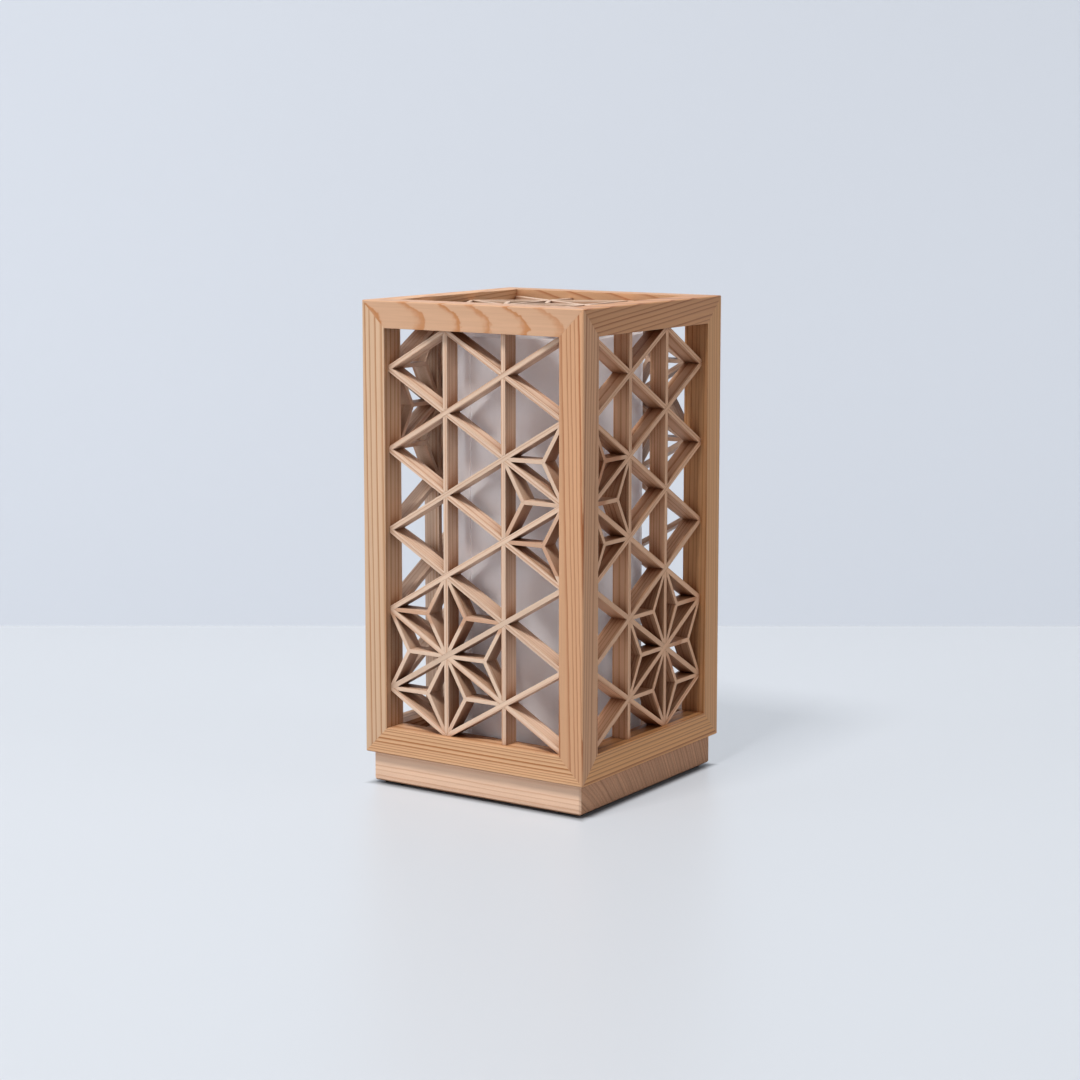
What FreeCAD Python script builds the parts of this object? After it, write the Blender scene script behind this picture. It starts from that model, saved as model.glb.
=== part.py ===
import FreeCAD, Part
import math
import os

V = FreeCAD.Vector
UP = V(0, 0, 1)

# Driving dimensions in millimetres: the mitred frame
frame_width = 130.0        # outside width and depth of the square frame
frame_height = 228.0       # outside height of the frame
member = 13.5              # square section of every post and rail
arris = 0.5                # eased outer edge of a post or rail
tenon_gap = 0.05           # glue room round a loose tenon hidden in a corner mitre

# Lattice of thin strips, and the hemp-leaf stars set into it
columns = 3                # columns of triangles across a panel
side_steps = 10            # half pitches of the lattice down a side panel
top_steps = 5              # half pitches across the top panel
strip_width = 2.5          # strip thickness seen from the front
strip_depth = 9.0          # strip depth into the lamp
leaf_width = 2.0           # thickness of a star's leaves
recess = 3.5               # lattice set back from the frame's face
lap_gap = 0.05             # play in the three-way lap joints
glue_gap = 0.04            # glue line where an end meets its neighbour

# Base that the shade stands on
foot_size = 14.0
foot_height = 1.5
foot_inset = 3.0           # from the plinth's edge to the pad
foot_corner = 2.0          # cut off each corner of a pad
plinth_inset = 3.0         # plinth set in from the frame's face
plinth_height = 15.0
plinth_arris = 0.8
seat_height = 8.0          # board inside the bottom rails that keeps the shade in place
shade_gap = 0.5            # sliding room between that board and the rails
seat_arris = 0.8

# Wiring space in the plinth, its cover and the cord's rubber bush
wire_hole = 10.0
channel_width = 8.0
channel_land = 4.0         # left under the cover's edge past the end of the wire channel
cover_size = 64.0
cover_thickness = 2.0
cover_gap = 0.3
bush_diameter = 9.0
bush_length = 10.0
bush_bore = 6.4
bush_flange = 12.4
bush_flange_thickness = 1.6
bush_gap = 0.1

# Rolled translucent tube round the lamp
tube_wall = 0.8
tube_room = 1.2            # between the tube's overlap and the inside of the shade
tube_headroom = 3.5        # between the tube's rim and the underside of the shade's top
tube_lap = 20.0            # the sheet overlaps itself by this much
tube_seam_angle = 257.0    # where the outer edge of the overlap runs, in degrees
tube_gap = 0.3             # between the tube and the blocks inside its foot
block_width = 12.0
block_depth = 6.0
block_height = 5.0

# Lamp holder and bulb
holder_flange = 41.0
holder_flange_thickness = 4.0
holder_diameter = 28.0
holder_floor = 9.0         # from the flange's underside to the bottom of the socket
lead_hole = 4.0            # through the socket's floor
shell_bore = 17.6          # brass screw shell in the socket
shell_wall = 0.4
shell_gap = 0.1
shell_drop = 2.0           # the shell ends this far below the rim
contact_length = 10.0      # brass strip across the socket's floor
contact_width = 3.0
contact_height = 1.0
bulb_gap = 0.3             # between the bulb's foot and the contact
rim_gap = 1.0              # between the holder's rim and the bulb's glass
cap_diameter = 16.8
cap_height = 20.0
cap_tip = 9.0              # insulated tip below the cap's thread
tip_height = 3.0
globe_diameter = 42.0
neck_diameter = 16.0       # the glass where it leaves the cap
neck_height = 22.0         # from the cap to the round part's middle
glass_sides = 40           # flat facets round the glass

# Heights and half widths that follow from these
half_frame = frame_width / 2
half_opening = half_frame - member
half_plinth = half_frame - plinth_inset
half_seat = half_opening - shade_gap
plinth_top = foot_height + plinth_height
frame_middle = plinth_top + frame_height / 2
seat_top = plinth_top + seat_height
opening_width = frame_width - 2 * member
opening_height = frame_height - 2 * member
wire_level = foot_height + plinth_height / 2
channel_length = cover_size / 2 - channel_land
foot_offset = half_plinth - foot_inset - foot_size / 2
shade_wall = max(member, recess + strip_depth)
tube_radius = half_frame - shade_wall - tube_room - tube_wall
tube_height = frame_height - shade_wall - tube_headroom - seat_height
bulb_foot = seat_top + holder_floor + contact_height + bulb_gap
holder_height = bulb_foot + cap_height - rim_gap - seat_top
shell_height = holder_height - holder_floor - shell_drop

parts = {}


def turned(shape, angle, axis=UP, centre=V(0, 0, 0)):
    """A copy turned about a line through centre."""
    copy = shape.copy()
    copy.rotate(centre, axis, angle)
    return copy


def moved(shape, x, y, z):
    copy = shape.copy()
    copy.translate(V(x, y, z))
    return copy


def centred_box(width, depth, height):
    """A box standing on z = 0, centred on the axis."""
    return Part.makeBox(width, depth, height, V(-width / 2, -depth / 2, 0))


def rod(diameter, height, x=0.0, y=0.0, z=0.0):
    return Part.makeCylinder(diameter / 2, height, V(x, y, z))


def spun(outline, angle=360):
    """Spin an outline of (radius, height) points about the vertical axis."""
    points = [V(r, 0, z) for r, z in outline]
    return Part.Face(Part.makePolygon(points + points[:1])).revolve(V(0, 0, 0), UP, angle)


def many_sided(outline):
    """The same kind of outline taken round in flat facets, closed by a flat at each end."""
    turns = [2 * math.pi * n / glass_sides for n in range(glass_sides)]
    rings = [[V(r * math.cos(t), r * math.sin(t), z) for t in turns] for r, z in outline]
    loops = [rings[0][::-1], rings[-1]]
    for low, high in zip(rings, rings[1:]):
        for n in range(glass_sides):
            loops.append([low[n - 1], low[n], high[n], high[n - 1]])
    return Part.Solid(Part.Shell([Part.Face(Part.makePolygon(loop + loop[:1])) for loop in loops]))


def square_spots(offset):
    return [(sx * offset, sy * offset) for sx in (-1, 1) for sy in (-1, 1)]


# Frame: twelve square bars that meet three at a time in mitred corners

def mitred_bar(length):
    """A bar along x whose outer edge is the x axis, with both outer faces mitred at each end."""
    half = length / 2
    section = [V(-half, arris, 0), V(-half, member, 0), V(-half, member, member),
               V(-half, 0, member), V(-half, 0, arris)]
    bar = Part.Face(Part.makePolygon(section + section[:1])).extrude(V(length, 0, 0))
    trapeze = [V(-half, 0, 0), V(half, 0, 0), V(half - member, 0, member), V(member - half, 0, member)]
    front = Part.Face(Part.makePolygon(trapeze + trapeze[:1])).extrude(V(0, member, 0))
    flat = [V(p.x, p.z, 0) for p in trapeze]
    under = Part.Face(Part.makePolygon(flat + flat[:1])).extrude(V(0, 0, member))
    return bar.common(front).common(under)


def corner_tenons(grow):
    """Three loose tenons in each of the eight corners, one across every mitre face."""
    size = V(0.46, 0.23, 0.15) * member + V(1, 1, 1) * (2 * grow)
    block = Part.makeBox(size.x, size.y, size.z, size * -0.5)
    block = moved(turned(block, 45, V(0, 1, 0)), member * 2 / 3, member / 3, member * 2 / 3)
    trio = [turned(block, 120 * n, V(1, 1, 1)) for n in range(3)]
    lower = [moved(key, -half_frame, -half_frame, plinth_top) for key in trio]
    upper = [turned(key, 180, V(1, 0, 0), V(0, 0, frame_middle)) for key in lower]
    return [turned(key, 90 * n) for key in lower + upper for n in range(4)]


def build_frame():
    slots = Part.makeCompound(corner_tenons(tenon_gap))
    rail = mitred_bar(frame_width)
    post = mitred_bar(frame_height)
    bottom = moved(rail, 0, -half_frame, plinth_top)
    top = moved(turned(rail, -90, V(1, 0, 0)), 0, -half_frame, plinth_top + frame_height)
    upright = moved(turned(post, -90, V(0, 1, 0)), half_frame, -half_frame, frame_middle)
    for n, side in enumerate(("front", "right", "back", "left")):
        parts["bottom_rail_" + side] = turned(bottom, 90 * n).cut(slots)
        parts["top_rail_" + side] = turned(top, 90 * n).cut(slots)
    for n, corner in enumerate(("front_right", "back_right", "back_left", "front_left")):
        parts["post_" + corner] = turned(upright, 90 * n).cut(slots)
    parts["corner_tenons"] = Part.makeCompound(corner_tenons(0))


# Lattice panels, drawn in their own plane: x to the right, z up, y into the lamp

def clip(outline, point, inward):
    """The part of a flat outline that lies on the inward side of a line through point."""
    kept = []
    for start, end in zip(outline, outline[1:] + outline[:1]):
        a = (start - point).dot(inward)
        b = (end - point).dot(inward)
        if a >= 0:
            kept.append(start)
        if a * b < 0:
            kept.append(start + (end - start) * (a / (a - b)))
    return kept


def bar_outline(start, end, width, beyond=0.0):
    """A straight bar round the line from start to end, made longer by beyond at each end."""
    along = (end - start).normalize()
    across = along.cross(V(0, 1, 0)) * (width / 2)
    first = start - along * beyond
    last = end + along * beyond
    return [first - across, last - across, last + across, first + across]


def plate(outline, near, far):
    """A flat outline given thickness from depth near to depth far."""
    points = [V(p.x, near, p.z) for p in outline]
    return Part.Face(Part.makePolygon(points + points[:1])).extrude(V(0, far - near, 0))


class Lattice:
    """Triangular lattice filling an opening. A node is (column line, pitches down from the top)."""

    def __init__(self, width, height, rows, phase):
        self.rows = rows
        self.phase = phase           # 0 puts the first column line's nodes at half pitches
        self.column = width / columns
        self.pitch = height / rows
        self.corner = V(-width / 2, 0, height / 2)
        self.uprights = [((i, 0), (i, rows)) for i in range(1, columns)]
        self.rising = self.slanting(1)
        self.falling = self.slanting(-1)
        self.borders = [(V(side * (width / 2 - glue_gap), 0, 0), V(-side, 0, 0)) for side in (-1, 1)]
        self.borders += [(V(0, 0, side * (height / 2 - glue_gap)), V(0, 0, -side)) for side in (-1, 1)]
        self.meeting = {}
        for line in self.uprights + self.rising + self.falling:
            for here, there in (line, line[::-1]):
                self.meeting.setdefault(here, []).append(self.heading(here, there))

    def spot(self, node):
        return self.corner + V(node[0] * self.column, 0, -node[1] * self.pitch)

    def heading(self, here, there):
        return (self.spot(there) - self.spot(here)).normalize()

    def slanting(self, slope):
        """End nodes of every strip that climbs (1) or drops (-1) half a pitch per column."""
        lines = []
        for step in range(-columns, int(2 * self.rows) + columns + 1):
            levels = [(i, (step - slope * i) / 2) for i in range(columns + 1)]
            inside = [node for node in levels if 0 <= node[1] <= self.rows]
            if step % 2 == (1 + self.phase) % 2 and len(inside) > 1:
                lines.append((inside[0], inside[-1]))
        return lines

    def crossings(self, line):
        """Nodes inside the panel on one strip, where three strips pass through one another."""
        (i0, k0), (i1, k1) = line
        nodes = [(i, k / 2) for i in range(1, columns) for k in range(1, int(2 * self.rows))
                 if (k + i + 1 + self.phase) % 2 == 0]
        return [(i, k) for i, k in nodes if (i - i0) * (k1 - k0) == (k - k0) * (i1 - i0)]

    def strip(self, line, laps):
        """One strip, cut to the opening, mitred to its neighbours and notched for the others."""
        outline = bar_outline(self.spot(line[0]), self.spot(line[1]), strip_width, 2 * strip_width)
        for point, inward in self.borders:
            outline = clip(outline, point, inward)
        for here, there in (line, line[::-1]):
            own = self.heading(here, there)
            for other in self.meeting[here]:
                if own.dot(other) < 1 - 1e-6:
                    bisector = (own - other).normalize()
                    outline = clip(outline, self.spot(here) + bisector * (glue_gap / 2), bisector)
        blank = plate(outline, 0, strip_depth)
        notches = [self.notch(node, *lap) for node in self.crossings(line) for lap in laps]
        return blank.cut(notches) if notches else blank

    def notch(self, node, direction, near, far):
        """Room for another strip that crosses this node, between two depths."""
        reach = direction * (2 * strip_width)
        centre = self.spot(node)
        return plate(bar_outline(centre - reach, centre + reach, strip_width + 2 * lap_gap), near, far)

    def strips(self):
        """All strips, each keeping one third of its depth where three of them cross."""
        climb = V(self.column, 0, self.pitch / 2).normalize()
        drop = V(self.column, 0, -self.pitch / 2).normalize()
        third = strip_depth / 3
        back = strip_depth + third
        upright_laps = [(way, -third, 2 * third + lap_gap) for way in (climb, drop)]
        rising_laps = [(way, third, back) for way in (UP, drop)]
        falling_laps = [(climb, -third, third + lap_gap), (UP, 2 * third, back)]
        return {"uprights": [self.strip(line, upright_laps) for line in self.uprights],
                "rising_strips": [self.strip(line, rising_laps) for line in self.rising],
                "falling_strips": [self.strip(line, falling_laps) for line in self.falling]}

    def holds(self, node):
        return 0 <= node[0] <= columns and 0 <= node[1] <= self.rows

    def star(self, centre):
        """Leaves of the star round a node, in each triangle that lies inside the panel."""
        i, k = centre
        ring = [(i, k - 1), (i + 1, k - 0.5), (i + 1, k + 0.5),
                (i, k + 1), (i - 1, k + 0.5), (i - 1, k - 0.5)]
        leaves = []
        for first, second in zip(ring, ring[1:] + ring[:1]):
            if self.holds(first) and self.holds(second):
                leaves += self.triangle_leaves((centre, first, second))
        return leaves

    def triangle_leaves(self, nodes):
        """Three leaves from a triangle's corners to its middle, pointed at both ends."""
        middle = sum((self.spot(node) for node in nodes), V(0, 0, 0)) * (1 / 3)
        leaves = []
        for node in nodes:
            tip = self.spot(node)
            own = (tip - middle).normalize()
            outline = bar_outline(tip, middle, leaf_width)
            for other in nodes:
                if other != node:
                    outline = clip(outline, *self.side_of(node, other, middle))
                    bisector = (own - (self.spot(other) - middle).normalize()).normalize()
                    outline = clip(outline, middle + bisector * (glue_gap / 2), bisector)
            leaves.append(plate(outline, 0, strip_depth))
        return leaves

    def side_of(self, node, other, middle):
        """The inner edge of the strip, or of the frame, between two corners of a triangle."""
        along = self.heading(node, other)
        inward = along.cross(V(0, 1, 0))
        if inward.dot(middle - self.spot(node)) < 0:
            inward = inward * -1
        on_frame = node[0] == other[0] and node[0] in (0, columns)
        inset = glue_gap if on_frame else glue_gap + strip_width / 2
        return self.spot(node) + inward * inset, inward


def build_panels():
    """Side panels turn about the axis. The stars of two neighbours meet round a shared post."""
    # For each side: the lattice's phase, the star's centre and the half star's centre
    layout = {"front": (0, (1, 4), (3, 2)), "right": (1, (2, 4), (0, 2)),
              "back": (0, (1, 1), (3, 3)), "left": (1, (2, 1), (0, 3))}
    for n, (side, (phase, star, half_star)) in enumerate(layout.items()):
        lattice = Lattice(opening_width, opening_height, side_steps / 2, phase)
        pieces = lattice.strips()
        pieces["star_leaves"] = lattice.star(star)
        pieces["half_star_leaves"] = lattice.star(half_star)
        for name, solids in pieces.items():
            panel = moved(Part.makeCompound(solids), 0, recess - half_frame, frame_middle)
            parts[side + "_" + name] = turned(panel, 90 * n)


def build_top_panel():
    """The same lattice laid flat, face up, with its first level along the front rail."""
    lattice = Lattice(opening_width, opening_width, top_steps / 2, 1)
    pieces = lattice.strips()
    pieces["star_leaves"] = lattice.star((2, 1))
    for name, solids in pieces.items():
        flat = turned(turned(Part.makeCompound(solids), -90, V(1, 0, 0)), 180)
        parts["top_" + name] = moved(flat, 0, 0, plinth_top + frame_height - recess)


# Base: plinth, shade seat, feet and the wiring space under a cover

def build_plinth():
    block = moved(centred_box(2 * half_plinth, 2 * half_plinth, plinth_height), 0, 0, foot_height)
    block = block.makeChamfer(plinth_arris, block.Edges)
    cover = moved(centred_box(cover_size + 2 * cover_gap, cover_size + 2 * cover_gap, cover_thickness),
                  0, 0, foot_height)
    channel_top = wire_level + channel_width / 2
    channel = Part.makeBox(channel_width, channel_length, channel_top - foot_height,
                           V(-channel_width / 2, 0, foot_height))
    inlet = Part.makeCylinder(bush_diameter / 2 + bush_gap, half_plinth,
                              V(0, channel_length - channel_width, wire_level), V(0, 1, 0))
    drop = rod(wire_hole, plinth_height, z=foot_height)
    parts["plinth"] = block.cut([cover, channel, inlet, drop])
    parts["bottom_cover"] = moved(centred_box(cover_size, cover_size, cover_thickness), 0, 0, foot_height)


def build_seat():
    """Board inside the bottom rails: it centres the shade and carries the tube and the lamp."""
    board = centred_box(2 * half_seat, 2 * half_seat, seat_height)
    rim = [edge for edge in board.Edges if edge.BoundBox.ZMin > seat_height / 2]
    board = board.makeChamfer(seat_arris, rim).cut(rod(wire_hole, seat_height))
    parts["seat_board"] = moved(board, 0, 0, plinth_top)


def build_feet():
    pad = centred_box(foot_size, foot_size, foot_height)
    corners = [edge for edge in pad.Edges if edge.BoundBox.ZLength > foot_height / 2]
    pad = pad.makeChamfer(foot_corner, corners)
    parts["feet"] = Part.makeCompound([moved(pad, x, y, 0) for x, y in square_spots(foot_offset)])


def build_cord_bush():
    """Rubber bush in the plinth's rear edge, its flange outside."""
    bore = bush_bore / 2
    body = bush_diameter / 2
    flange = bush_flange / 2
    bush = spun([(bore, -bush_length), (body, -bush_length), (body, 0), (flange, 0),
                 (flange, bush_flange_thickness), (bore, bush_flange_thickness)])
    parts["cord_bush"] = moved(turned(bush, -90, V(1, 0, 0)), 0, half_plinth, wire_level)


# Light: rolled tube, blocks inside its foot, holder and bulb

def build_tube():
    """A sheet rolled into a tube, one edge lapped over the other, and four blocks inside its foot."""
    inner = tube_radius - tube_wall
    tube = rod(2 * tube_radius, tube_height).cut(rod(2 * inner, tube_height))
    lap_angle = math.degrees(tube_lap / tube_radius)
    outer = tube_radius + tube_wall
    flap = spun([(tube_radius, 0), (outer, 0), (outer, tube_height), (tube_radius, tube_height)], lap_angle)
    flap = turned(flap, tube_seam_angle - lap_angle)
    parts["diffuser_tube"] = moved(tube.fuse(flap).removeSplitter(), 0, 0, seat_top)
    reach = math.sqrt((inner - tube_gap) ** 2 - (block_width / 2) ** 2)
    corner = V(reach - block_depth, -block_width / 2, seat_top)
    block = Part.makeBox(block_depth, block_width, block_height, corner)
    parts["tube_blocks"] = Part.makeCompound([turned(block, 90 * n) for n in range(4)])


def build_holder():
    flange = holder_flange / 2
    body = holder_diameter / 2
    lead = lead_hole / 2
    shell = shell_bore / 2 + shell_wall
    socket = shell + shell_gap
    holder = spun([(lead, 0), (flange, 0), (flange, holder_flange_thickness), (body, holder_flange_thickness),
                   (body, holder_height), (socket, holder_height), (socket, holder_floor), (lead, holder_floor)])
    parts["lamp_holder"] = moved(holder, 0, 0, seat_top)
    sleeve = spun([(shell_bore / 2, 0), (shell, 0), (shell, shell_height), (shell_bore / 2, shell_height)])
    parts["holder_shell"] = moved(sleeve, 0, 0, seat_top + holder_floor)
    strip = centred_box(contact_length, contact_width, contact_height)
    parts["holder_contact"] = moved(strip, 0, 0, seat_top + holder_floor)


def build_bulb():
    """Screw cap and pear-shaped glass: a cone from the cap that runs into a round end."""
    cap = cap_diameter / 2
    tip = cap_tip / 2
    cap_outline = [(0, 0), (tip, 0), (tip, tip_height), (cap, tip_height), (cap, cap_height), (0, cap_height)]
    parts["bulb_cap"] = moved(spun(cap_outline), 0, 0, bulb_foot)
    globe = globe_diameter / 2
    angles = [math.radians(turn) for turn in (-20, 0, 20, 40, 60, 80)]
    dome = [(globe * math.cos(a), neck_height + globe * math.sin(a)) for a in angles]
    glass = many_sided([(neck_diameter / 2, 0)] + dome)
    parts["bulb_glass"] = moved(glass, 0, 0, bulb_foot + cap_height)


os.makedirs("parts", exist_ok=True)
build_frame()
build_panels()
build_top_panel()
build_plinth()
build_seat()
build_feet()
build_cord_bush()
build_tube()
build_holder()
build_bulb()
for name, shape in parts.items():
    shape.exportStep("parts/" + name + ".step")
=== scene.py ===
import math
import bmesh
import bpy
import numpy as np
from mathutils import Matrix, Vector


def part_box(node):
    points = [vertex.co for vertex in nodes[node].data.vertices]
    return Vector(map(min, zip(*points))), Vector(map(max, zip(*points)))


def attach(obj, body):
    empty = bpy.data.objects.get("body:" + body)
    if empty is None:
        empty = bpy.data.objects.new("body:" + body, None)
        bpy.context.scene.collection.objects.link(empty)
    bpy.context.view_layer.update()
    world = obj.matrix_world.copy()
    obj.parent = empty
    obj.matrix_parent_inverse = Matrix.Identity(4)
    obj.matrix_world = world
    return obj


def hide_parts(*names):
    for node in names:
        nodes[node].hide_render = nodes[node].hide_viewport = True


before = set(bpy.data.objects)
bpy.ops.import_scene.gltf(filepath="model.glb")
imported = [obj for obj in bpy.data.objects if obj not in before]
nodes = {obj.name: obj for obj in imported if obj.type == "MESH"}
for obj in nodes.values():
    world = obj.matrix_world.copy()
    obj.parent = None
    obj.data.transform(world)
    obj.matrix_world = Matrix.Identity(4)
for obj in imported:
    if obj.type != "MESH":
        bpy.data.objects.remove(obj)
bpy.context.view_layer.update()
scene = bpy.context.scene
scene.view_settings.view_transform = "Standard"
print("frame loaded,", len(nodes), "nodes")


# camera at the photograph's viewing angle
viewpoint = {"place": (0.6671, -1.0054, 0.3185), "heading": 123.666, "pitch": -7.732,
             "lens": 80.26, "sensor": 36.0, "rise": -0.06, "near": 0.01}
heading = math.radians(viewpoint["heading"])
pitch = math.radians(viewpoint["pitch"])
gaze = Vector((math.cos(heading) * math.cos(pitch), math.sin(heading) * math.cos(pitch), math.sin(pitch)))
lampCamera = bpy.data.objects.new("lampCamera", bpy.data.cameras.new("lampCamera"))
lampCamera.data.lens = viewpoint["lens"]
lampCamera.data.sensor_width = viewpoint["sensor"]
lampCamera.data.shift_y = viewpoint["rise"]
lampCamera.data.clip_start = viewpoint["near"]
lampCamera.location = viewpoint["place"]
lampCamera.rotation_euler = gaze.to_track_quat("-Z", "Y").to_euler()
scene.collection.objects.link(lampCamera)
scene.camera = lampCamera
print("camera placed")


# small helpers for node trees: each value is either a plain number or the socket that feeds it
def fill(tree, made, values):
    for key, value in values.items():
        if isinstance(value, bpy.types.NodeSocket):
            tree.links.new(value, made.inputs[key])
        else:
            made.inputs[key].default_value = value
    return made


def put(tree, kind, values=None, **settings):
    made = tree.nodes.new("ShaderNode" + kind)
    for key, value in settings.items():
        setattr(made, key, value)
    return fill(tree, made, values or {})


def maths(tree, operation, a, b=0.0, c=0.0):
    return put(tree, "Math", {0: a, 1: b, 2: c}, operation=operation).outputs[0]


def vectorMaths(tree, operation, a, b):
    made = put(tree, "VectorMath", {0: a, 1: b}, operation=operation)
    return made.outputs["Value" if operation in ("DOT_PRODUCT", "LENGTH") else "Vector"]


def blendOf(tree, factor, a, b, way="MIX"):
    return put(tree, "Mix", {0: factor, 6: a, 7: b}, data_type="RGBA", blend_type=way).outputs[2]


def scaled(tree, vector, amount):
    return put(tree, "VectorMath", {0: vector, "Scale": amount}, operation="SCALE").outputs[0]


def eased(tree, value, low, high):
    made = put(tree, "MapRange", {0: value, 1: low, 2: high, 3: 0.0, 4: 1.0},
               interpolation_type="SMOOTHSTEP")
    return made.outputs[0]


def cloudy(tree, vector, stretch, detail=2.0):
    # noise about zero, from -0.5 to 0.5, with its own frequency in 1/m along each axis
    place = vectorMaths(tree, "MULTIPLY", vector, stretch)
    noise = put(tree, "TexNoise", {"Vector": place, "Scale": 1.0, "Detail": detail, "Roughness": 0.55})
    return maths(tree, "SUBTRACT", noise.outputs[0], 0.5)


def lineNoise(tree, value, rate, detail):
    values = {"W": maths(tree, "MULTIPLY", value, rate), "Scale": 1.0, "Detail": detail}
    return put(tree, "TexNoise", values, noise_dimensions="1D").outputs[0]


def lotOf(tree, value):
    return put(tree, "TexWhiteNoise", {"W": value}, noise_dimensions="1D").outputs[0]


def lookedAt(tree):
    # 1 for a ray that looks straight, in a mirror or through glass, 0 for one that carries light
    path = put(tree, "LightPath").outputs
    straight = maths(tree, "MAXIMUM", path["Is Camera Ray"], path["Is Glossy Ray"])
    return maths(tree, "MAXIMUM", straight, path["Is Transmission Ray"])


def newGroup(name, takes, gives):
    tree = bpy.data.node_groups.new(name, "ShaderNodeTree")
    for label, (kind, value) in takes.items():
        socket = tree.interface.new_socket(label, in_out="INPUT", socket_type="NodeSocket" + kind)
        socket.default_value = value
    for label, kind in gives.items():
        tree.interface.new_socket(label, in_out="OUTPUT", socket_type="NodeSocket" + kind)
    return tree, tree.nodes.new("NodeGroupInput").outputs, tree.nodes.new("NodeGroupOutput").inputs


def colour(r, g, b):
    # a colour written as it is seen on a screen, 0 to 255, turned into the linear value that a socket takes
    seen = np.array((r, g, b)) / 255.0
    linear = np.where(seen <= 0.04045, seen / 12.92, ((seen + 0.055) / 1.055) ** 2.4)
    return (*linear.tolist(), 1.0)


# sawn softwood: x runs along the grain, and growth rings lie round a pith line
sawnLook = {
    # noise frequencies in 1/m, along the grain and then across it
    "slow": (10, 70, 70), "quick": (130, 420, 420), "jagged": (350, 350, 350),
    "streak": (24, 950, 950), "broad": (7, 45, 45), "speck": (300, 1500, 1500),
    "apart": (5.0, 3.0, 4.0), "boardYears": 7.3, "quickShare": 0.35,
    "unevenRate": 0.37, "unevenYears": 1.3,
    "lateFrom": 0.97, "lateFull": 0.95, "lateSpread": 0.5, "lateLeast": 0.55, "yearShade": 0.14,
    "level": 0.93, "broadLevel": 0.22, "boardLevel": 0.14,
    "endFrom": 0.75, "endFull": 0.95, "endLevel": 0.72, "endSpeck": 0.4, "endShade": -0.1,
    "bandRate": 1.1, "bandLevel": 0.52,
    "rough": 0.5, "roughLate": -0.08, "roughStreak": 0.2, "roughEnd": 0.2, "lateHeight": 0.5}


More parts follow.
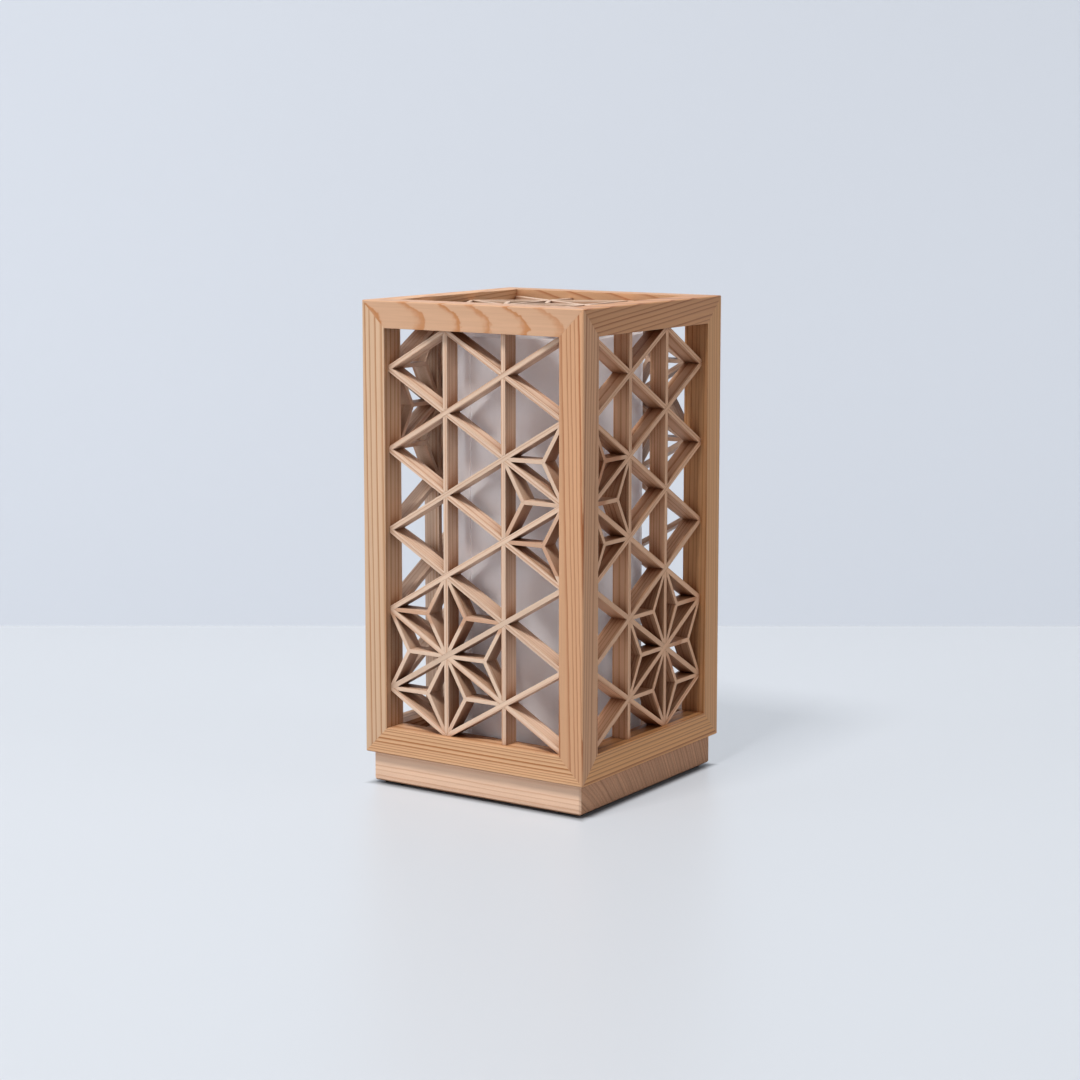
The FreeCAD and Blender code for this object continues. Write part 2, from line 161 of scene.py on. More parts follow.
def makeSawnWood():
    look = sawnLook
    tree, take, give = newGroup("sawnWood", {
        "Vector": ("Vector", (0, 0, 0)), "Facing": ("Vector", (0, 0, 1)), "Pith": ("Vector", (0, 0, 0)),
        "Ring": ("Float", 0.002), "Slope": ("Float", 0.0), "Wander": ("Float", 0.0004),
        "Late": ("Float", 0.3), "Board": ("Float", 1.0), "Fibre": ("Float", 0.2), "Jag": ("Float", 0.0),
        "Early": ("Color", (1, 1, 1, 1)), "Dark": ("Color", (0, 0, 0, 1)),
        "End": ("Color", (0.6, 0.55, 0.52, 1))},
        {"Color": "Color", "Roughness": "Float", "Height": "Float"})
    # each board of a row across z gets its own number, and so its own tone and its own rings
    row = put(tree, "SeparateXYZ", {0: take["Vector"]}).outputs[2]
    lot = lotOf(tree, maths(tree, "ROUND", maths(tree, "DIVIDE", row, take["Board"])))
    place = vectorMaths(tree, "ADD", take["Vector"], scaled(tree, look["apart"], lot))
    # ring distance = distance from the pith line + slope along the grain + slow and quick wandering
    offset = vectorMaths(tree, "SUBTRACT", take["Vector"], take["Pith"])
    away = put(tree, "SeparateXYZ", {0: offset}).outputs
    across = put(tree, "CombineXYZ", {1: away[1], 2: away[2]}).outputs[0]
    distance = vectorMaths(tree, "LENGTH", across, (0, 0, 0))
    slow = cloudy(tree, place, look["slow"])
    quick = cloudy(tree, place, look["quick"], 3.0)
    bent = maths(tree, "MULTIPLY_ADD", quick, look["quickShare"], slow)
    bent = maths(tree, "MULTIPLY_ADD", cloudy(tree, place, look["jagged"], 1.0), take["Jag"], bent)
    depth = maths(tree, "MULTIPLY_ADD", take["Slope"], away[0], distance)
    depth = maths(tree, "MULTIPLY_ADD", bent, take["Wander"], depth)
    years = maths(tree, "DIVIDE", depth, take["Ring"])
    years = maths(tree, "MULTIPLY_ADD", lot, look["boardYears"], years)
    # some years are wide and some narrow
    uneven = lineNoise(tree, years, look["unevenRate"], 1.0)
    years = maths(tree, "MULTIPLY_ADD", uneven, look["unevenYears"], years)
    season = maths(tree, "FRACT", years)
    vigour = lotOf(tree, maths(tree, "FLOOR", years))
    # late wood darkens slowly through a year and stops sharply
    onset = eased(tree, season, maths(tree, "SUBTRACT", look["lateFrom"], take["Late"]), look["lateFull"])
    stop = eased(tree, season, 1.0, look["lateFull"])
    strength = maths(tree, "MULTIPLY_ADD", vigour, look["lateSpread"], look["lateLeast"])
    late = maths(tree, "MULTIPLY", maths(tree, "MULTIPLY", onset, stop), strength)
    shade = maths(tree, "MULTIPLY_ADD", maths(tree, "MULTIPLY", season, season), look["yearShade"], late)
    streak = cloudy(tree, place, look["streak"], 3.0)
    broad = cloudy(tree, place, look["broad"])
    level = maths(tree, "MULTIPLY_ADD", streak, take["Fibre"], look["level"])
    level = maths(tree, "MULTIPLY_ADD", broad, look["broadLevel"], level)
    level = maths(tree, "MULTIPLY_ADD", lot, look["boardLevel"], level)
    tint = scaled(tree, blendOf(tree, shade, take["Early"], take["Dark"]), level)
    # the ends of the fibres, on faces that cut across the grain, are darker and rougher
    along = put(tree, "SeparateXYZ", {0: take["Facing"]}).outputs[0]
    end = eased(tree, maths(tree, "ABSOLUTE", along), look["endFrom"], look["endFull"])
    speck = cloudy(tree, place, look["speck"], 1.0)
    band = lineNoise(tree, years, look["bandRate"], 3.0)
    endLevel = maths(tree, "MULTIPLY_ADD", speck, look["endSpeck"], look["endLevel"])
    endLevel = maths(tree, "MULTIPLY_ADD", shade, look["endShade"], endLevel)
    endLevel = maths(tree, "MULTIPLY_ADD", band, look["bandLevel"], endLevel)
    endTint = scaled(tree, blendOf(tree, 1.0, tint, take["End"], "MULTIPLY"), endLevel)
    tree.links.new(blendOf(tree, end, tint, endTint), give["Color"])
    rough = maths(tree, "MULTIPLY_ADD", late, look["roughLate"], look["rough"])
    rough = maths(tree, "MULTIPLY_ADD", streak, look["roughStreak"], rough)
    tree.links.new(maths(tree, "MULTIPLY_ADD", end, look["roughEnd"], rough), give["Roughness"])
    tree.links.new(maths(tree, "MULTIPLY_ADD", late, look["lateHeight"], streak), give["Height"])
    return tree


# edges taken off with fine paper: a rounded normal, a mask of the arris and a mask of tight nooks; the nook
# mask drives painted shade in the wood
edgeLook = {"turn": 0.22, "bevelRays": 4, "reach": 0.014, "open": 0.8, "tight": 0.14, "nookRays": 6}


def makeEasedEdgeAndNookShade():
    look = edgeLook
    tree, take, give = newGroup("easedEdgeAndNookShade", {"Radius": ("Float", 0.0004)},
                                {"Normal": "Vector", "Edge": "Float", "NookShade": "Float"})
    rounded = put(tree, "Bevel", {"Radius": take["Radius"]}, samples=look["bevelRays"]).outputs[0]
    flat = put(tree, "NewGeometry").outputs["Normal"]
    turn = maths(tree, "SUBTRACT", 1.0, vectorMaths(tree, "DOT_PRODUCT", rounded, flat))
    tree.links.new(rounded, give["Normal"])
    tree.links.new(eased(tree, turn, 0.0, look["turn"]), give["Edge"])
    # painted shade: ambient occlusion within reach marks tight nooks, where the wood is later darkened
    paintedShadeProbe = put(tree, "AmbientOcclusion", {"Distance": look["reach"]}, samples=look["nookRays"])
    tree.links.new(eased(tree, paintedShadeProbe.outputs["AO"], look["open"], look["tight"]), give["NookShade"])
    return tree


# moulded, rolled or cast skin: two tones in soft clouds, fine grain in the height, smears in the gloss
skinLook = {"grainShare": 0.3, "patchFrom": 0.45, "patchFull": 0.95, "smear": 0.35}


def makeFineSkin():
    look = skinLook
    tree, take, give = newGroup("fineSkin", {
        "Vector": ("Vector", (0, 0, 0)), "Grain": ("Float", 2500.0), "Clouds": ("Float", 60.0),
        "Tone": ("Color", (1, 1, 1, 1)), "Worn": ("Color", (1, 1, 1, 1)), "Gloss": ("Float", 0.4)},
        {"Color": "Color", "Roughness": "Float", "Height": "Float"})
    clouds, grain = [put(tree, "TexNoise", {"Vector": take["Vector"], "Scale": take[label],
                                            "Detail": detail}).outputs[0]
                     for label, detail in (("Clouds", 4.0), ("Grain", 2.0))]
    patch = maths(tree, "MULTIPLY_ADD", grain, look["grainShare"], clouds)
    patch = eased(tree, patch, look["patchFrom"], look["patchFull"])
    tree.links.new(blendOf(tree, patch, take["Tone"], take["Worn"]), give["Color"])
    smear = maths(tree, "SUBTRACT", clouds, 0.5)
    tree.links.new(maths(tree, "MULTIPLY_ADD", smear, look["smear"], take["Gloss"]), give["Roughness"])
    tree.links.new(grain, give["Height"])
    return tree


# a leaf's own grain runs along its flat sides: turned by the face it is on, and drawn out on its front edges
leafLook = {"edgeOn": 0.7, "drawn": 0.03}


def makeLeafGrain():
    tree, take, give = newGroup("leafGrain", {
        "Vector": ("Vector", (0, 0, 0)), "Facing": ("Vector", (0, 0, 1)), "Depth": ("Vector", (0, 1, 0))},
        {"Vector": "Vector"})
    length = vectorMaths(tree, "CROSS_PRODUCT", take["Facing"], take["Depth"])
    ways = (length, take["Depth"], take["Facing"])
    parts = [vectorMaths(tree, "DOT_PRODUCT", take["Vector"], way) for way in ways]
    turned = put(tree, "CombineXYZ", {0: parts[0], 1: parts[1], 2: parts[2]}).outputs[0]
    faceOn = maths(tree, "ABSOLUTE", vectorMaths(tree, "DOT_PRODUCT", take["Facing"], take["Depth"]))
    onEdge = maths(tree, "GREATER_THAN", faceOn, leafLook["edgeOn"])
    drawn = scaled(tree, take["Vector"], leafLook["drawn"])
    mixed = put(tree, "Mix", {0: onEdge, 4: turned, 5: drawn}, data_type="VECTOR").outputs[1]
    tree.links.new(mixed, give["Vector"])
    return tree


groups = {"wood": makeSawnWood(), "edge": makeEasedEdgeAndNookShade(), "skin": makeFineSkin(), "leaf": makeLeafGrain()}
print("shader groups built")


def startFinish(name):
    finish = bpy.data.materials.new(name)
    finish.use_nodes = True
    tree = finish.node_tree
    return finish, tree, tree.nodes["Principled BSDF"]


def useGroup(tree, key, **values):
    made = tree.nodes.new("ShaderNodeGroup")
    made.node_tree = groups[key]
    return fill(tree, made, values).outputs


def relief(tree, **values):
    return put(tree, "Bump", values).outputs[0]


def dress(finish, names):
    for name in names:
        node = nodes[name]
        node.data.materials.clear()
        node.data.materials.append(finish)


# one wooden finish: along is the grain, out the face that shows, pith is where the rings' middle lies
# from the piece's own middle, outwards and then square to both; lengths in mm
perMetre = 1000
# pale and wear lighten the sanded arris, partly wear and partly a painted highlight; deep is painted shade
# for tight nooks
woodLook = {"pale": (1.16, 1.13, 1.1, 1.0), "wear": 0.7, "deep": (0.4, 0.27, 0.19, 1.0), "bump": 0.25,
            "relief": 0.0003, "gloss": 0.5, "sheen": (0.6, 0.42, 0.3, 1.0)}


def woodFinish(name, names, along, out, pith, ring, slope=0.0, wander=0.5, late=0.3, board=1000.0,
               fibre=0.22, jag=0.0, early=(222, 174, 134), dark=(188, 129, 86), end=(0.6, 0.54, 0.52, 1),
               radius=0.4, leafDepth=None):
    finish, tree, shader = startFinish(name)
    x = Vector(along).normalized()
    y = Vector(out).normalized()
    turn = Matrix((x, y, x.cross(y)))
    low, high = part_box(names[0])
    middle = turn @ ((low + high) / 2)
    angles = turn.to_euler("XYZ")
    seat = put(tree, "TexCoord").outputs
    if leafDepth:
        leafy = useGroup(tree, "leaf", Vector=seat["Object"], Facing=seat["Normal"], Depth=leafDepth)
        local = leafy["Vector"]
        facing = (0.0, 0.0, 1.0)
    else:
        seats = {0: seat["Object"], 1: -middle, 2: angles}
        local = put(tree, "Mapping", seats, vector_type="POINT").outputs[0]
        facing = put(tree, "Mapping", {0: seat["Normal"], 2: angles}, vector_type="POINT").outputs[0]
    wood = useGroup(tree, "wood", Vector=local, Facing=facing,
                    Pith=(0.0, pith[0] / perMetre, pith[1] / perMetre), Ring=ring / perMetre, Slope=slope,
                    Wander=wander / perMetre, Late=late, Board=board / perMetre, Fibre=fibre, Jag=jag,
                    Early=colour(*early), Dark=colour(*dark), End=end)
    edge = useGroup(tree, "edge", Radius=radius / perMetre)
    # the arris is lightened towards pale: partly sanding wear, partly a painted highlight
    pale = blendOf(tree, 1.0, wood["Color"], woodLook["pale"], "MULTIPLY")
    wear = maths(tree, "MULTIPLY", edge["Edge"], woodLook["wear"])
    tint = blendOf(tree, wear, wood["Color"], pale)
    # painted shade: wood in tight nooks is multiplied towards the deep brown
    deep = blendOf(tree, 1.0, tint, woodLook["deep"], "MULTIPLY")
    fill(tree, shader, {
        "Base Color": blendOf(tree, edge["NookShade"], tint, deep), "Roughness": wood["Roughness"],
        "Normal": relief(tree, Strength=woodLook["bump"], Distance=woodLook["relief"], Height=wood["Height"],
                         Normal=edge["Normal"]),
        "Specular IOR Level": woodLook["gloss"], "Specular Tint": woodLook["sheen"]})
    dress(finish, names)


toFront, toBack, toLeft, toRight, toTop = (0, -1, 0), (0, 1, 0), (-1, 0, 0), (1, 0, 0), (0, 0, 1)
golden = {"early": (221, 175, 135), "dark": (172, 112, 68)}
rosy = {"early": (227, 197, 173), "dark": (203, 158, 129)}
# the tawny tone, darker and redder, is painted shade for the right panel's strips
tawnyShadedSide = {"early": (228, 182, 147), "dark": (193, 135, 98)}

# posts and rails, each sawn from its own place in a plank
frameWoods = {
    "topRailFront": dict(names=["top_rail_front"], along=toRight, out=toFront, pith=(-23, 3.5), ring=2.6,
                         slope=0.118, wander=0.8, late=0.3, jag=0.7, early=(206, 164, 133)),
    "topRailRight": dict(names=["top_rail_right"], along=toBack, out=toRight, pith=(-6, 46), ring=2.4,
                         slope=-0.096, wander=0.7, late=0.45, early=(204, 150, 108), dark=(156, 96, 58)),
    "topRailBack": dict(names=["top_rail_back"], along=toLeft, out=toBack, pith=(-24, 4), ring=3.0,
                        slope=-0.12, wander=0.8, late=0.3, early=(210, 163, 125), dark=(174, 116, 78)),
    "topRailLeft": dict(names=["top_rail_left"], along=toFront, out=toLeft, pith=(-9, 40), ring=2.1,
                        slope=0.05, wander=0.6, late=0.4),
    "bottomRailFront": dict(names=["bottom_rail_front"], along=toRight, out=toFront, pith=(22, 60),
                            ring=1.62, slope=0.003, wander=0.25, late=0.6, **golden),
    "bottomRailRight": dict(names=["bottom_rail_right"], along=toBack, out=toRight, pith=(-24, 66),
                            ring=1.75, slope=-0.004, wander=0.3, late=0.55, early=(222, 165, 111),
                            dark=(167, 106, 64)),
    "bottomRailBack": dict(names=["bottom_rail_back"], along=toLeft, out=toBack, pith=(24, 62), ring=1.8,
                           slope=0.01, wander=0.35, late=0.5, **golden),
    "bottomRailLeft": dict(names=["bottom_rail_left"], along=toFront, out=toLeft, pith=(-20, 56), ring=1.6,
                           slope=0.006, wander=0.3, late=0.5, **golden),
    "postFrontRight": dict(names=["post_front_right"], along=toTop, out=toFront, pith=(-44, -44), ring=1.9,
                           slope=0.016, wander=0.9, late=0.4, early=(211, 163, 126), dark=(162, 98, 60)),
    "postFrontLeft": dict(names=["post_front_left"], along=toTop, out=toFront, pith=(-37, -37), ring=2.1,
                          slope=0.006, wander=0.5, late=0.36, early=(214, 179, 148), dark=(174, 119, 78)),
    "postBackRight": dict(names=["post_back_right"], along=toTop, out=toRight, pith=(-50, 50), ring=1.6,
                          slope=-0.006, wander=0.6, late=0.36, early=(215, 162, 115), dark=(182, 122, 76)),
    "postBackLeft": dict(names=["post_back_left"], along=toTop, out=toLeft, pith=(-45, 45), ring=1.8,
                         slope=0.008, wander=0.6, late=0.36, early=(214, 171, 139), dark=(182, 129, 97)),
}
for name, values in frameWoods.items():
    woodFinish(name, **values)

# lattice: one finish for each way that the strips run, with a new board for each strip; lengths in mm
latticeSize = {"across": 103 / 3, "climb": 20.1, "topClimb": 20.6,
               "pithOut": -30, "pithStep": 3, "pithSide": 46}
rise = math.atan2(latticeSize["climb"], latticeSize["across"])
topRise = math.atan2(latticeSize["topClimb"], latticeSize["across"])
c, s = math.cos(rise), math.sin(rise)
tc, ts = math.cos(topRise), math.sin(topRise)
strip = {"board": 34.69}
topStrip = {"board": 35.33}
upright = {"board": 34.33}
leaf = {"board": 7.0}
latticeLook = dict(ring=1.7, wander=0.6, late=0.38, fibre=0.24, radius=0.28)
latticeWoods = {
    "stripXUp": dict(names=["front_rising_strips", "back_falling_strips"], along=(c, 0, s), out=toFront,
                     **strip),
    "stripXDown": dict(names=["front_falling_strips", "back_rising_strips"], along=(c, 0, -s), out=toFront,
                       **strip),
    "stripYUp": dict(names=["right_rising_strips"], along=(0, c, s), out=toRight, **strip),
    "stripYDown": dict(names=["right_falling_strips"], along=(0, c, -s), out=toRight, **strip),
    "uprightX": dict(names=["front_uprights", "back_uprights"], along=toTop, out=toFront, **upright),
    "uprightY": dict(names=["right_uprights"], along=toTop, out=toRight, **upright),
    "topUpright": dict(names=["top_uprights"], along=toBack, out=toTop, **upright),
    "topRise": dict(names=["top_rising_strips"], along=(tc, ts, 0), out=toTop, **topStrip),
    "topFall": dict(names=["top_falling_strips"], along=(tc, -ts, 0), out=toTop, **topStrip),
    "leafX": dict(names=["front_star_leaves", "front_half_star_leaves", "back_star_leaves",
                         "back_half_star_leaves"], along=toRight, out=toFront, leafDepth=toBack, **leaf),
    "leafY": dict(names=["right_star_leaves", "right_half_star_leaves"], along=toBack, out=toRight,
                  leafDepth=toRight, **leaf),
    "leftUp": dict(names=["left_falling_strips"], along=(0, c, s), out=toLeft, **strip),
    "leftDown": dict(names=["left_rising_strips"], along=(0, c, -s), out=toLeft, **strip),
    "leftUpright": dict(names=["left_uprights"], along=toTop, out=toLeft, **upright),
    "leftLeaf": dict(names=["left_star_leaves", "left_half_star_leaves"], along=toBack, out=toLeft,
                     leafDepth=toRight, **leaf),
    "topLeaf": dict(names=["top_star_leaves"], along=toRight, out=toTop, leafDepth=toTop, **leaf),
}
# the right panel's pieces, the names with Y, take the tawny tone as painted shade; the other panels take
# rosy
for number, (name, values) in enumerate(latticeWoods.items()):
    pith = (latticeSize["pithOut"] - latticeSize["pithStep"] * number, latticeSize["pithSide"])
    woodFinish(name, pith=pith, **latticeLook, **values, **(tawnyShadedSide if "Y" in name else rosy))

# base: the plinth's grain runs across, so its right and left sides are end grain
baseWoods = {
    "plinthWood": dict(names=["plinth"], along=toRight, out=toFront, pith=(112, 64), ring=2.5, wander=1.0,
                       late=0.4, early=(240, 203, 175), dark=(222, 177, 147), end=(0.64, 0.52, 0.44, 1),
                       radius=0.5),
    "seatWood": dict(names=["seat_board", "tube_blocks", "corner_tenons"], along=toRight, out=toTop,
                     pith=(-40, 12), ring=2.4, wander=0.8, late=0.35, **rosy),
}
for name, values in baseWoods.items():
    woodFinish(name, **values)
woods = [*frameWoods.values(), *latticeWoods.values(), *baseWoods.values()]
print("wood on", sum(len(values["names"]) for values in woods), "nodes")


# moulded and metal pieces share the fine skin
rubbed = {"radius": 0.0003, "bright": (1.35, 1.33, 1.3, 1.0), "wear": 0.5, "relief": 0.0002}


def skinFinish(name, names, tone, worn, gloss, grain=2500.0, clouds=60.0, metallic=0.0, bump=0.15,
               stretch=(1, 1, 1)):
    finish, tree, shader = startFinish(name)
    place = put(tree, "Mapping", {0: put(tree, "TexCoord").outputs["Object"], 3: stretch}).outputs[0]
    skin = useGroup(tree, "skin", Vector=place, Grain=grain, Clouds=clouds, Tone=colour(*tone),
                    Worn=colour(*worn), Gloss=gloss)
    edge = useGroup(tree, "edge", Radius=rubbed["radius"])
    bright = blendOf(tree, 1.0, skin["Color"], rubbed["bright"], "MULTIPLY")
    wear = maths(tree, "MULTIPLY", edge["Edge"], rubbed["wear"])
    fill(tree, shader, {
        "Base Color": blendOf(tree, wear, skin["Color"], bright), "Roughness": skin["Roughness"],
        "Normal": relief(tree, Strength=bump, Distance=rubbed["relief"], Height=skin["Height"],
                         Normal=edge["Normal"]),
        "Metallic": metallic})
    dress(finish, names)
    return finish


skins = {
    "footRubber": dict(names=["feet"], tone=(26, 26, 27), worn=(44, 43, 43), gloss=0.75, grain=1800.0),
    "bushRubber": dict(names=["cord_bush"], tone=(24, 24, 25), worn=(40, 39, 39), gloss=0.55),
    "coverPlastic": dict(names=["bottom_cover"], tone=(52, 51, 50), worn=(66, 64, 62), gloss=0.5, bump=0.3),
    "holderPlastic": dict(names=["lamp_holder"], tone=(228, 226, 220), worn=(212, 209, 201), gloss=0.35),
    "holderBrass": dict(names=["holder_shell", "holder_contact"], tone=(214, 176, 96), worn=(176, 138, 70),
                        gloss=0.3, metallic=1.0, stretch=(1, 1, 6)),
    "capMetal": dict(names=["bulb_cap"], tone=(205, 206, 208), worn=(172, 172, 174), gloss=0.34,
                     metallic=1.0, stretch=(1, 1, 5)),
}
skinFinishes = {name: skinFinish(name, **values) for name, values in skins.items()}
print("moulded and metal finishes on", sum(len(values["names"]) for values in skins.values()), "nodes")


# rolled translucent sheet: pale, with faint fibres and clouds, and part of the light goes through
sheetLook = {"pale": (255, 254, 255), "cloud": (254, 251, 252), "through": 0.45, "cloudSize": (26, 26, 18),
             "thread": (248, 245, 245), "threadWays": ((170, 170, 60), (80, 80, 150)), "threadWide": 0.03,
             "threadShare": 0.12, "rough": 0.5, "roughCloud": 0.1, "bump": 0.12, "relief": 0.0002}


def makeSheet():
    look = sheetLook
    finish, tree, shader = startFinish("diffuserSheet")
    place = put(tree, "TexCoord").outputs["Object"]
    clouds = eased(tree, cloudy(tree, place, look["cloudSize"], 3.0), -0.3, 0.3)
    tint = blendOf(tree, clouds, colour(*look["pale"]), colour(*look["cloud"]))
    # fibres follow the zero lines of two noises, as thin curved threads
    threads = [eased(tree, maths(tree, "ABSOLUTE", cloudy(tree, place, way, 1.0)), look["threadWide"], 0.0)
               for way in look["threadWays"]]
    fibre = maths(tree, "MAXIMUM", *threads)
    tint = blendOf(tree, maths(tree, "MULTIPLY", fibre, look["threadShare"]), tint, colour(*look["thread"]))
    fill(tree, shader, {
        "Base Color": tint,
        "Roughness": maths(tree, "MULTIPLY_ADD", clouds, look["roughCloud"], look["rough"]),
        "Normal": relief(tree, Strength=look["bump"], Distance=look["relief"], Height=fibre)})
    through = put(tree, "BsdfTranslucent", {"Color": tint})
    both = put(tree, "MixShader", {0: look["through"], 1: shader.outputs[0], 2: through.outputs[0]})
    tree.links.new(both.outputs[0], tree.nodes["Material Output"].inputs["Surface"])
    dress(finish, ["diffuser_tube"])


makeSheet()
print("sheet on the tube")


# opal glass of the bulb
opalLook = {"tone": (240, 238, 232), "worn": (228, 226, 222), "gloss": 0.22, "grain": 900.0, "clouds": 40.0,
            "bump": 0.03, "relief": 0.0002, "coat": 0.4}


def makeOpal():
    look = opalLook
    finish, tree, shader = startFinish("opalGlass")
    place = put(tree, "TexCoord").outputs["Object"]
    skin = useGroup(tree, "skin", Vector=place, Grain=look["grain"], Clouds=look["clouds"],
                    Tone=colour(*look["tone"]), Worn=colour(*look["worn"]), Gloss=look["gloss"])
    fill(tree, shader, {
        "Base Color": skin["Color"], "Roughness": skin["Roughness"],
        "Normal": relief(tree, Strength=look["bump"], Distance=look["relief"], Height=skin["Height"]),
        "Coat Weight": look["coat"]})
    dress(finish, ["bulb_glass"])
    return finish


opal = makeOpal()


# a mesh from a grid of points, rows by columns, joined round where its last column meets the first
def gridPiece(name, grid, finish, wrap=True, crease=40.0):
    rows, columns = grid.shape[:2]
    low = np.arange(rows - 1)[:, None] * columns
    here = np.arange(columns if wrap else columns - 1)[None, :]
    beside = (here + 1) % columns
    quads = np.stack([low + here, low + beside, low + columns + beside, low + columns + here], -1)
    mesh = bpy.data.meshes.new(name)
    mesh.from_pydata(grid.reshape(-1, 3).tolist(), [], quads.reshape(-1, 4).tolist())
    shaped = bmesh.new()
    shaped.from_mesh(mesh)
    bmesh.ops.remove_doubles(shaped, verts=shaped.verts, dist=1e-7)
    bmesh.ops.dissolve_degenerate(shaped, edges=shaped.edges, dist=1e-8)
    shaped.to_mesh(mesh)
    shaped.free()
    mesh.polygons.foreach_set("use_smooth", np.ones(len(mesh.polygons), bool))
    mesh.set_sharp_from_angle(angle=math.radians(crease))
    mesh.materials.append(finish)
    piece = bpy.data.objects.new(name, mesh)
    scene.collection.objects.link(piece)
    return piece


# bulb glass: a pear-shaped outline of radius and height, spun about z
# meet is the angle on the ball where the neck's curve runs into it
bulbSize = {"globe": 0.021, "neck": 0.008, "middle": 0.022, "meet": -38.0,
            "neckPull": 0.005, "ballPull": 0.004, "steps": 40, "sides": 72}


def makeBulbGlass():
    low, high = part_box("bulb_glass")
    globe, middle = bulbSize["globe"], bulbSize["middle"]
    meet = math.radians(bulbSize["meet"])
    t = np.linspace(0.0, 1.0, bulbSize["steps"])
    # neck: a cubic curve from the cap, upright at first, to the ball's own slope
    start = np.array([bulbSize["neck"], 0.0])
    stop = np.array([globe * math.cos(meet), middle + globe * math.sin(meet)])
    leave = start + np.array([0.0, bulbSize["neckPull"]])
    arrive = stop - np.array([-math.sin(meet), math.cos(meet)]) * bulbSize["ballPull"]
    b = t[:, None]
    neck = (1 - b) ** 3 * start + 3 * (1 - b) ** 2 * b * leave
    neck = neck + 3 * (1 - b) * b ** 2 * arrive + b ** 3 * stop
    angle = meet + (math.pi / 2 - meet) * t[1:]
    ball = np.stack([globe * np.cos(angle), middle + globe * np.sin(angle)], -1)
    outline = np.concatenate([[[0.0, 0.0]], neck, ball])
    outline[:, 1] *= (high.z - low.z) / outline[:, 1].max()
    turn = np.linspace(0.0, 2 * math.pi, bulbSize["sides"], endpoint=False)
    grid = np.stack([outline[:, :1] * np.cos(turn), outline[:, :1] * np.sin(turn),
                     low.z + outline[:, 1:] + 0 * turn], -1)
    return gridPiece("bulbGlass", grid, opal)


bulbGlass = makeBulbGlass()
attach(bulbGlass, "bulb")
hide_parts("bulb_glass")
print("bulb glass blown")


# screw heads: a shallow dome with a cross cut into it, each facing up or down
screwLook = {"radius": 0.0026, "rise": 0.0011, "dome": 0.75, "slot": 0.00045, "deep": 0.0007,
             "wall": 0.00015, "armEnd": 0.72, "armSlope": 0.12, "sunk": -0.0001, "rings": 26, "sides": 64,
             "crease": 30.0, "spin": 0.5, "spinStep": 1.1}
screwPlaces = {
    "coverScrew": [((x, y, 0.0015), -1) for x in (-0.026, 0.026) for y in (-0.026, 0.026)],
    "plinthScrew": [((x, y, 0.0015), -1) for x in (-0.0385, 0.0385) for y in (-0.0385, 0.0385)],
    "flangeScrew": [((x, 0.0, 0.0285), 1) for x in (-0.01725, 0.01725)],
}


def makeScrew(name, place, way, spin):
    look = screwLook
    r = np.concatenate([np.linspace(0, 1, look["rings"]), [1.0]])[:, None]
    turn = np.linspace(0, 2 * math.pi, look["sides"], endpoint=False)[None, :]
    x, y = r * np.cos(turn), r * np.sin(turn)
    # height = a dome of the radius, less a cross whose walls slope, with the rim's last ring sunk a little
    dome = np.sqrt(np.clip(1 - look["dome"] * r ** 2, 0, 1)) + 0 * turn
    arm = np.minimum(np.abs(x), np.abs(y)) * look["radius"]
    reach = np.clip((look["armEnd"] - r) / look["armSlope"], 0, 1)
    cut = np.clip((look["slot"] - arm) / look["wall"], 0, 1) * reach * look["deep"]
    z = dome * look["rise"] - cut
    z[-1] = look["sunk"]
    ca, sa = math.cos(spin), math.sin(spin)
    flat = look["radius"] * np.stack([x * ca - y * sa, (x * sa + y * ca) * way], -1)
    grid = np.concatenate([flat, (z * way)[..., None]], -1)[::-1] + np.array(place)
    piece = gridPiece(name, grid, skinFinishes["holderBrass"], crease=look["crease"])
    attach(piece, "base")


for name, places in screwPlaces.items():
    for number, (place, way) in enumerate(places):
        makeScrew(f"{name}{number + 1}", place, way, screwLook["spin"] + screwLook["spinStep"] * number)
print("screws driven")


# stage: one pale sheet, floor and wall with a small cove between, shown from its front only
stageLook = {"wall": 0.384, "cove": 0.0006, "coveSteps": 13, "reach": 4.0, "tall": 3.0,
             "floor": (182, 186, 192), "backdrop": (160, 164, 171), "shown": (159, 164, 172),
             "shaded": (140, 143, 148), "lift": (166, 170, 175), "paintedShadowFrom": 0.061, "paintedShadowTo": 0.067,
             "bendFrom": 0.0002, "bendTo": 0.0006, "mottle": 0.02, "mottleSize": (3, 3, 3),
             "rough": 0.38, "wallRough": 0.5, "paintedWallShadeFrom": 0.1, "paintedWallShadeTo": 0.7, "paintedWallShade": -0.22}


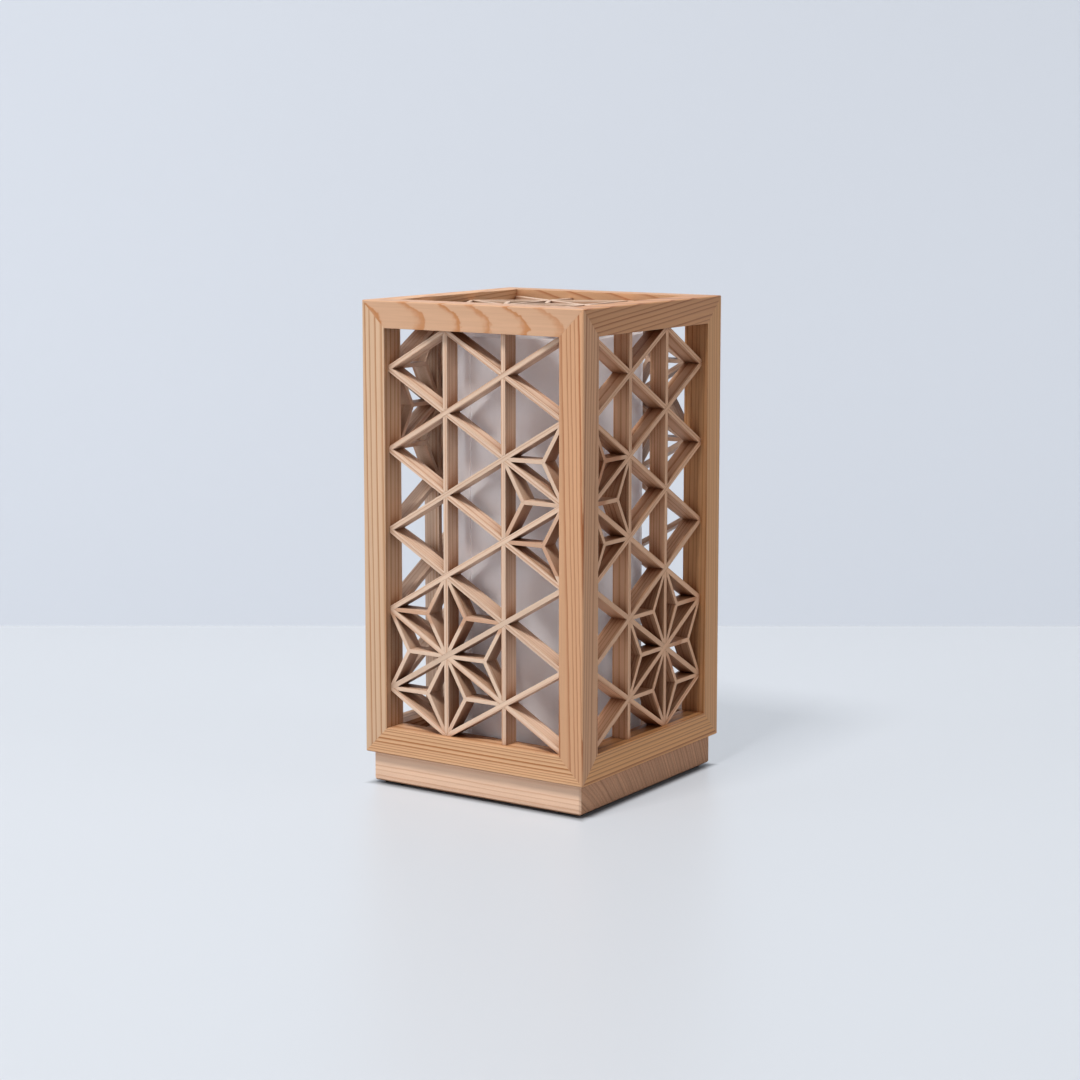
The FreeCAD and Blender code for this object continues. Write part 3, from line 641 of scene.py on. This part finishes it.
def makeStage():
    look = stageLook
    ahead = np.array([gaze.x, gaze.y]) / math.hypot(gaze.x, gaze.y)
    beside = np.array([ahead[1], -ahead[0]])
    bend = np.linspace(0, math.pi / 2, look["coveSteps"])
    radius = look["cove"]
    run = np.concatenate([[-look["reach"]], look["wall"] - radius + radius * np.sin(bend), [look["wall"]]])
    climb = np.concatenate([[0.0], radius - radius * np.cos(bend), [look["tall"]]])
    wide = np.array([-look["reach"], look["reach"]])
    flat = run[:, None, None] * ahead + wide[None, :, None] * beside
    grid = np.concatenate([flat, np.broadcast_to(climb[:, None, None], (len(run), 2, 1))], -1)
    finish, tree, shader = startFinish("stageSheet")
    place = put(tree, "TexCoord").outputs["Object"]
    east, north, height = put(tree, "SeparateXYZ", {0: place}).outputs
    upright = eased(tree, height, look["bendFrom"], look["bendTo"])
    # the wall shows its own tone to whatever looks at it, darkened towards the top as painted shade, and the
    # floor part of one, so that its shadows stay faint; under the plinth that part fades out, a painted
    # contact shadow
    looking = lookedAt(tree)
    # painted contact shadow: the floor's lift is masked off within the plinth's footprint, by the larger of
    # |x| and |y|
    aside = maths(tree, "MAXIMUM", maths(tree, "ABSOLUTE", east), maths(tree, "ABSOLUTE", north))
    lift = scaled(tree, colour(*look["lift"])[:3], eased(tree, aside, look["paintedShadowFrom"], look["paintedShadowTo"]))
    # painted shade: the wall's shown tone darkens towards the top
    high = eased(tree, height, look["paintedWallShadeFrom"], look["paintedWallShadeTo"])
    paintedWallShade = maths(tree, "MULTIPLY_ADD", high, look["paintedWallShade"], 1.0)
    shown = scaled(tree, colour(*look["shown"])[:3], paintedWallShade)
    ground = blendOf(tree, looking, colour(*look["floor"]), colour(*look["shaded"]))
    tint = blendOf(tree, upright, ground, colour(*look["backdrop"]))
    mottle = maths(tree, "MULTIPLY_ADD", cloudy(tree, place, look["mottleSize"], 3.0), look["mottle"], 1.0)
    fill(tree, shader, {
        "Base Color": scaled(tree, tint, mottle),
        "Roughness": maths(tree, "MULTIPLY_ADD", upright, look["wallRough"], look["rough"]),
        "Emission Color": blendOf(tree, upright, lift, shown), "Emission Strength": looking})
    clear = put(tree, "BsdfTransparent")
    behind = put(tree, "NewGeometry").outputs["Backfacing"]
    both = put(tree, "MixShader", {0: behind, 1: shader.outputs[0], 2: clear.outputs[0]})
    tree.links.new(both.outputs[0], tree.nodes["Material Output"].inputs["Surface"])
    sheet = gridPiece("stageSheet", grid, finish, wrap=False, crease=60.0)


makeStage()


# a soft box overhead in front of the lamp, weak ones from the left and the right, and a dim even world
lightAim = Vector((0, 0, 0.12))
lightLook = {
    "keyLight": {"place": (0.0, -1.0, 2.0), "long": 0.5, "wide": 0.4, "watts": 42.0,
                 "tint": (1.0, 0.985, 0.965), "glare": True},
    "leftLight": {"place": (-1.2, -1.4, 0.55), "long": 1.0, "wide": 1.0, "watts": 11.2,
                  "tint": (0.92, 0.96, 1.0), "glare": False},
    "rightLight": {"place": (1.5, 0.35, 0.8), "long": 0.8, "wide": 0.8, "watts": 5.2,
                   "tint": (1.0, 1.0, 1.0), "glare": True},
}
for name, look in lightLook.items():
    light = bpy.data.objects.new(name, bpy.data.lights.new(name, "AREA"))
    light.data.energy = look["watts"]
    light.data.shape = "RECTANGLE"
    light.data.size = look["long"]
    light.data.size_y = look["wide"]
    light.data.color = look["tint"]
    light.visible_glossy = look["glare"]     # the low left one would leave a white patch on the floor
    light.location = look["place"]
    light.rotation_euler = (lightAim - light.location).to_track_quat("-Z", "Y").to_euler()
    scene.collection.objects.link(light)

worldLook = {"strength": 0.08, "tint": (0.96, 0.98, 1.0, 1.0), "seen": (218, 223, 230)}
world = bpy.data.worlds.new("paleRoom")
scene.world = world
world.use_nodes = True
airTree = world.node_tree
air = airTree.nodes["Background"]
fill(airTree, air, {"Color": worldLook["tint"], "Strength": worldLook["strength"]})
seen = put(airTree, "Background", {"Color": colour(*worldLook["seen"]), "Strength": 1.0})
shown = put(airTree, "MixShader", {0: lookedAt(airTree), 1: air.outputs[0], 2: seen.outputs[0]})
airTree.links.new(shown.outputs[0], airTree.nodes["World Output"].inputs["Surface"])
print("stage and light set")
